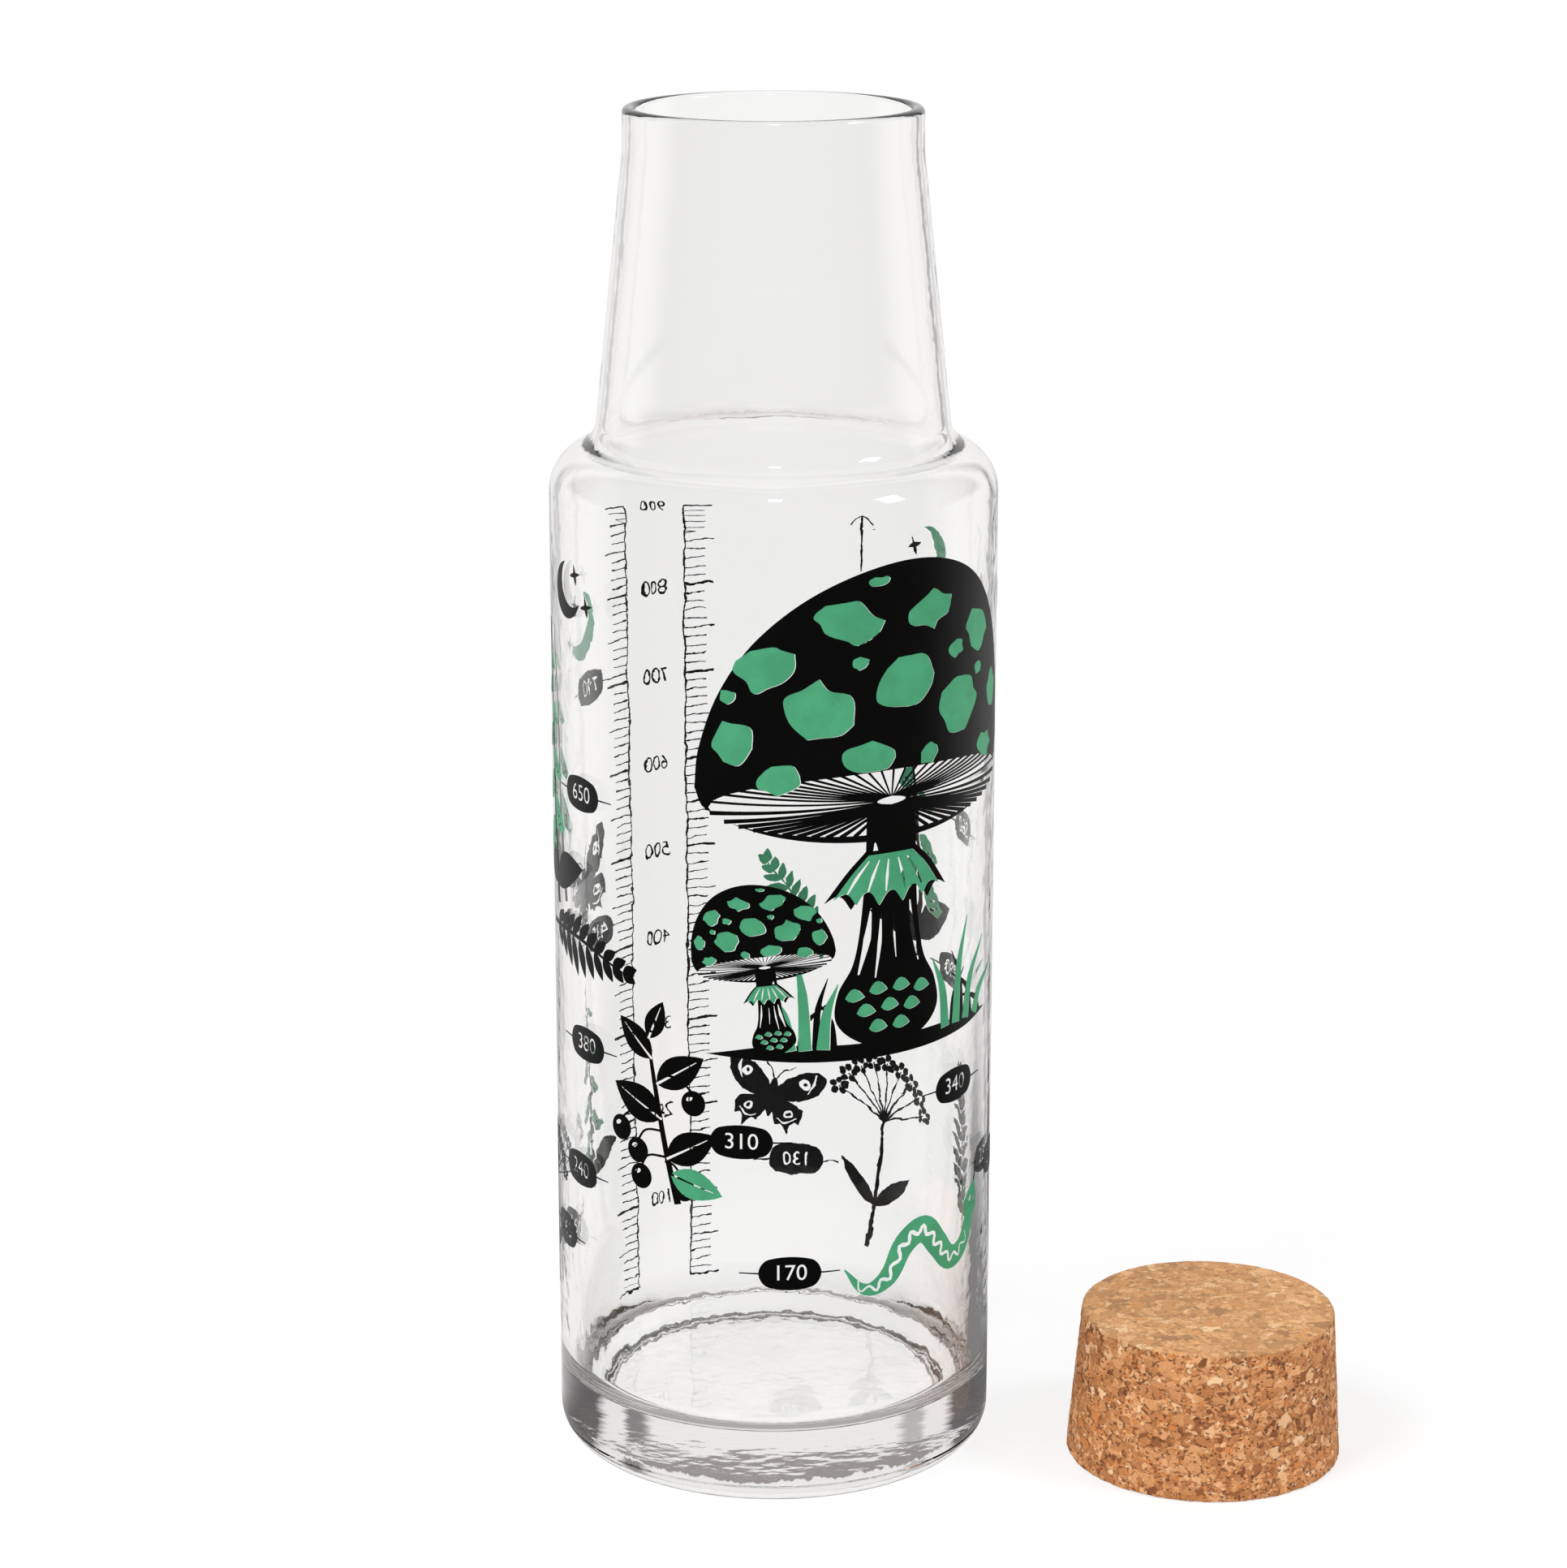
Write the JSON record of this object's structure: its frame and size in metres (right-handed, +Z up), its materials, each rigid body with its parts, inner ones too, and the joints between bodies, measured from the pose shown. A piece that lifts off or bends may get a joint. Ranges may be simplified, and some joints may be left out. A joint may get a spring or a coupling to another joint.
{
  "type": "measuring bottle with cork stopper",
  "caption": "Clear glass carafe with a tapered open neck, a printed volume scale on its wall and a loose tapered cork stopper.",
  "frame": {"origin": "centre of the ring that the bottle stands on, at table height", "axes": "+Z up along the bottle's axis and out of its mouth, +X towards the stopper, -Y towards the viewer of the picture"},
  "size_m": [0.1596, 0.088, 0.2717],
  "materials": {
    "clear_glass": "polished",
    "black_enamel": "satin",
    "green_enamel": "satin",
    "cork": "matte"
  },
  "bodies": {
    "bottle": {"glass_bottle": "clear_glass", "scale_ladder_left": "black_enamel", "scale_ladder_right": "black_enamel"},
    "stopper": {"cork_stopper": "cork"}
  },
  "joints": [
    {"name": "stopper_lift", "type": "slide", "parent": "bottle", "child": "stopper", "axis": [0, 0, 1], "range_m": [0, 0.3]}
  ]
}
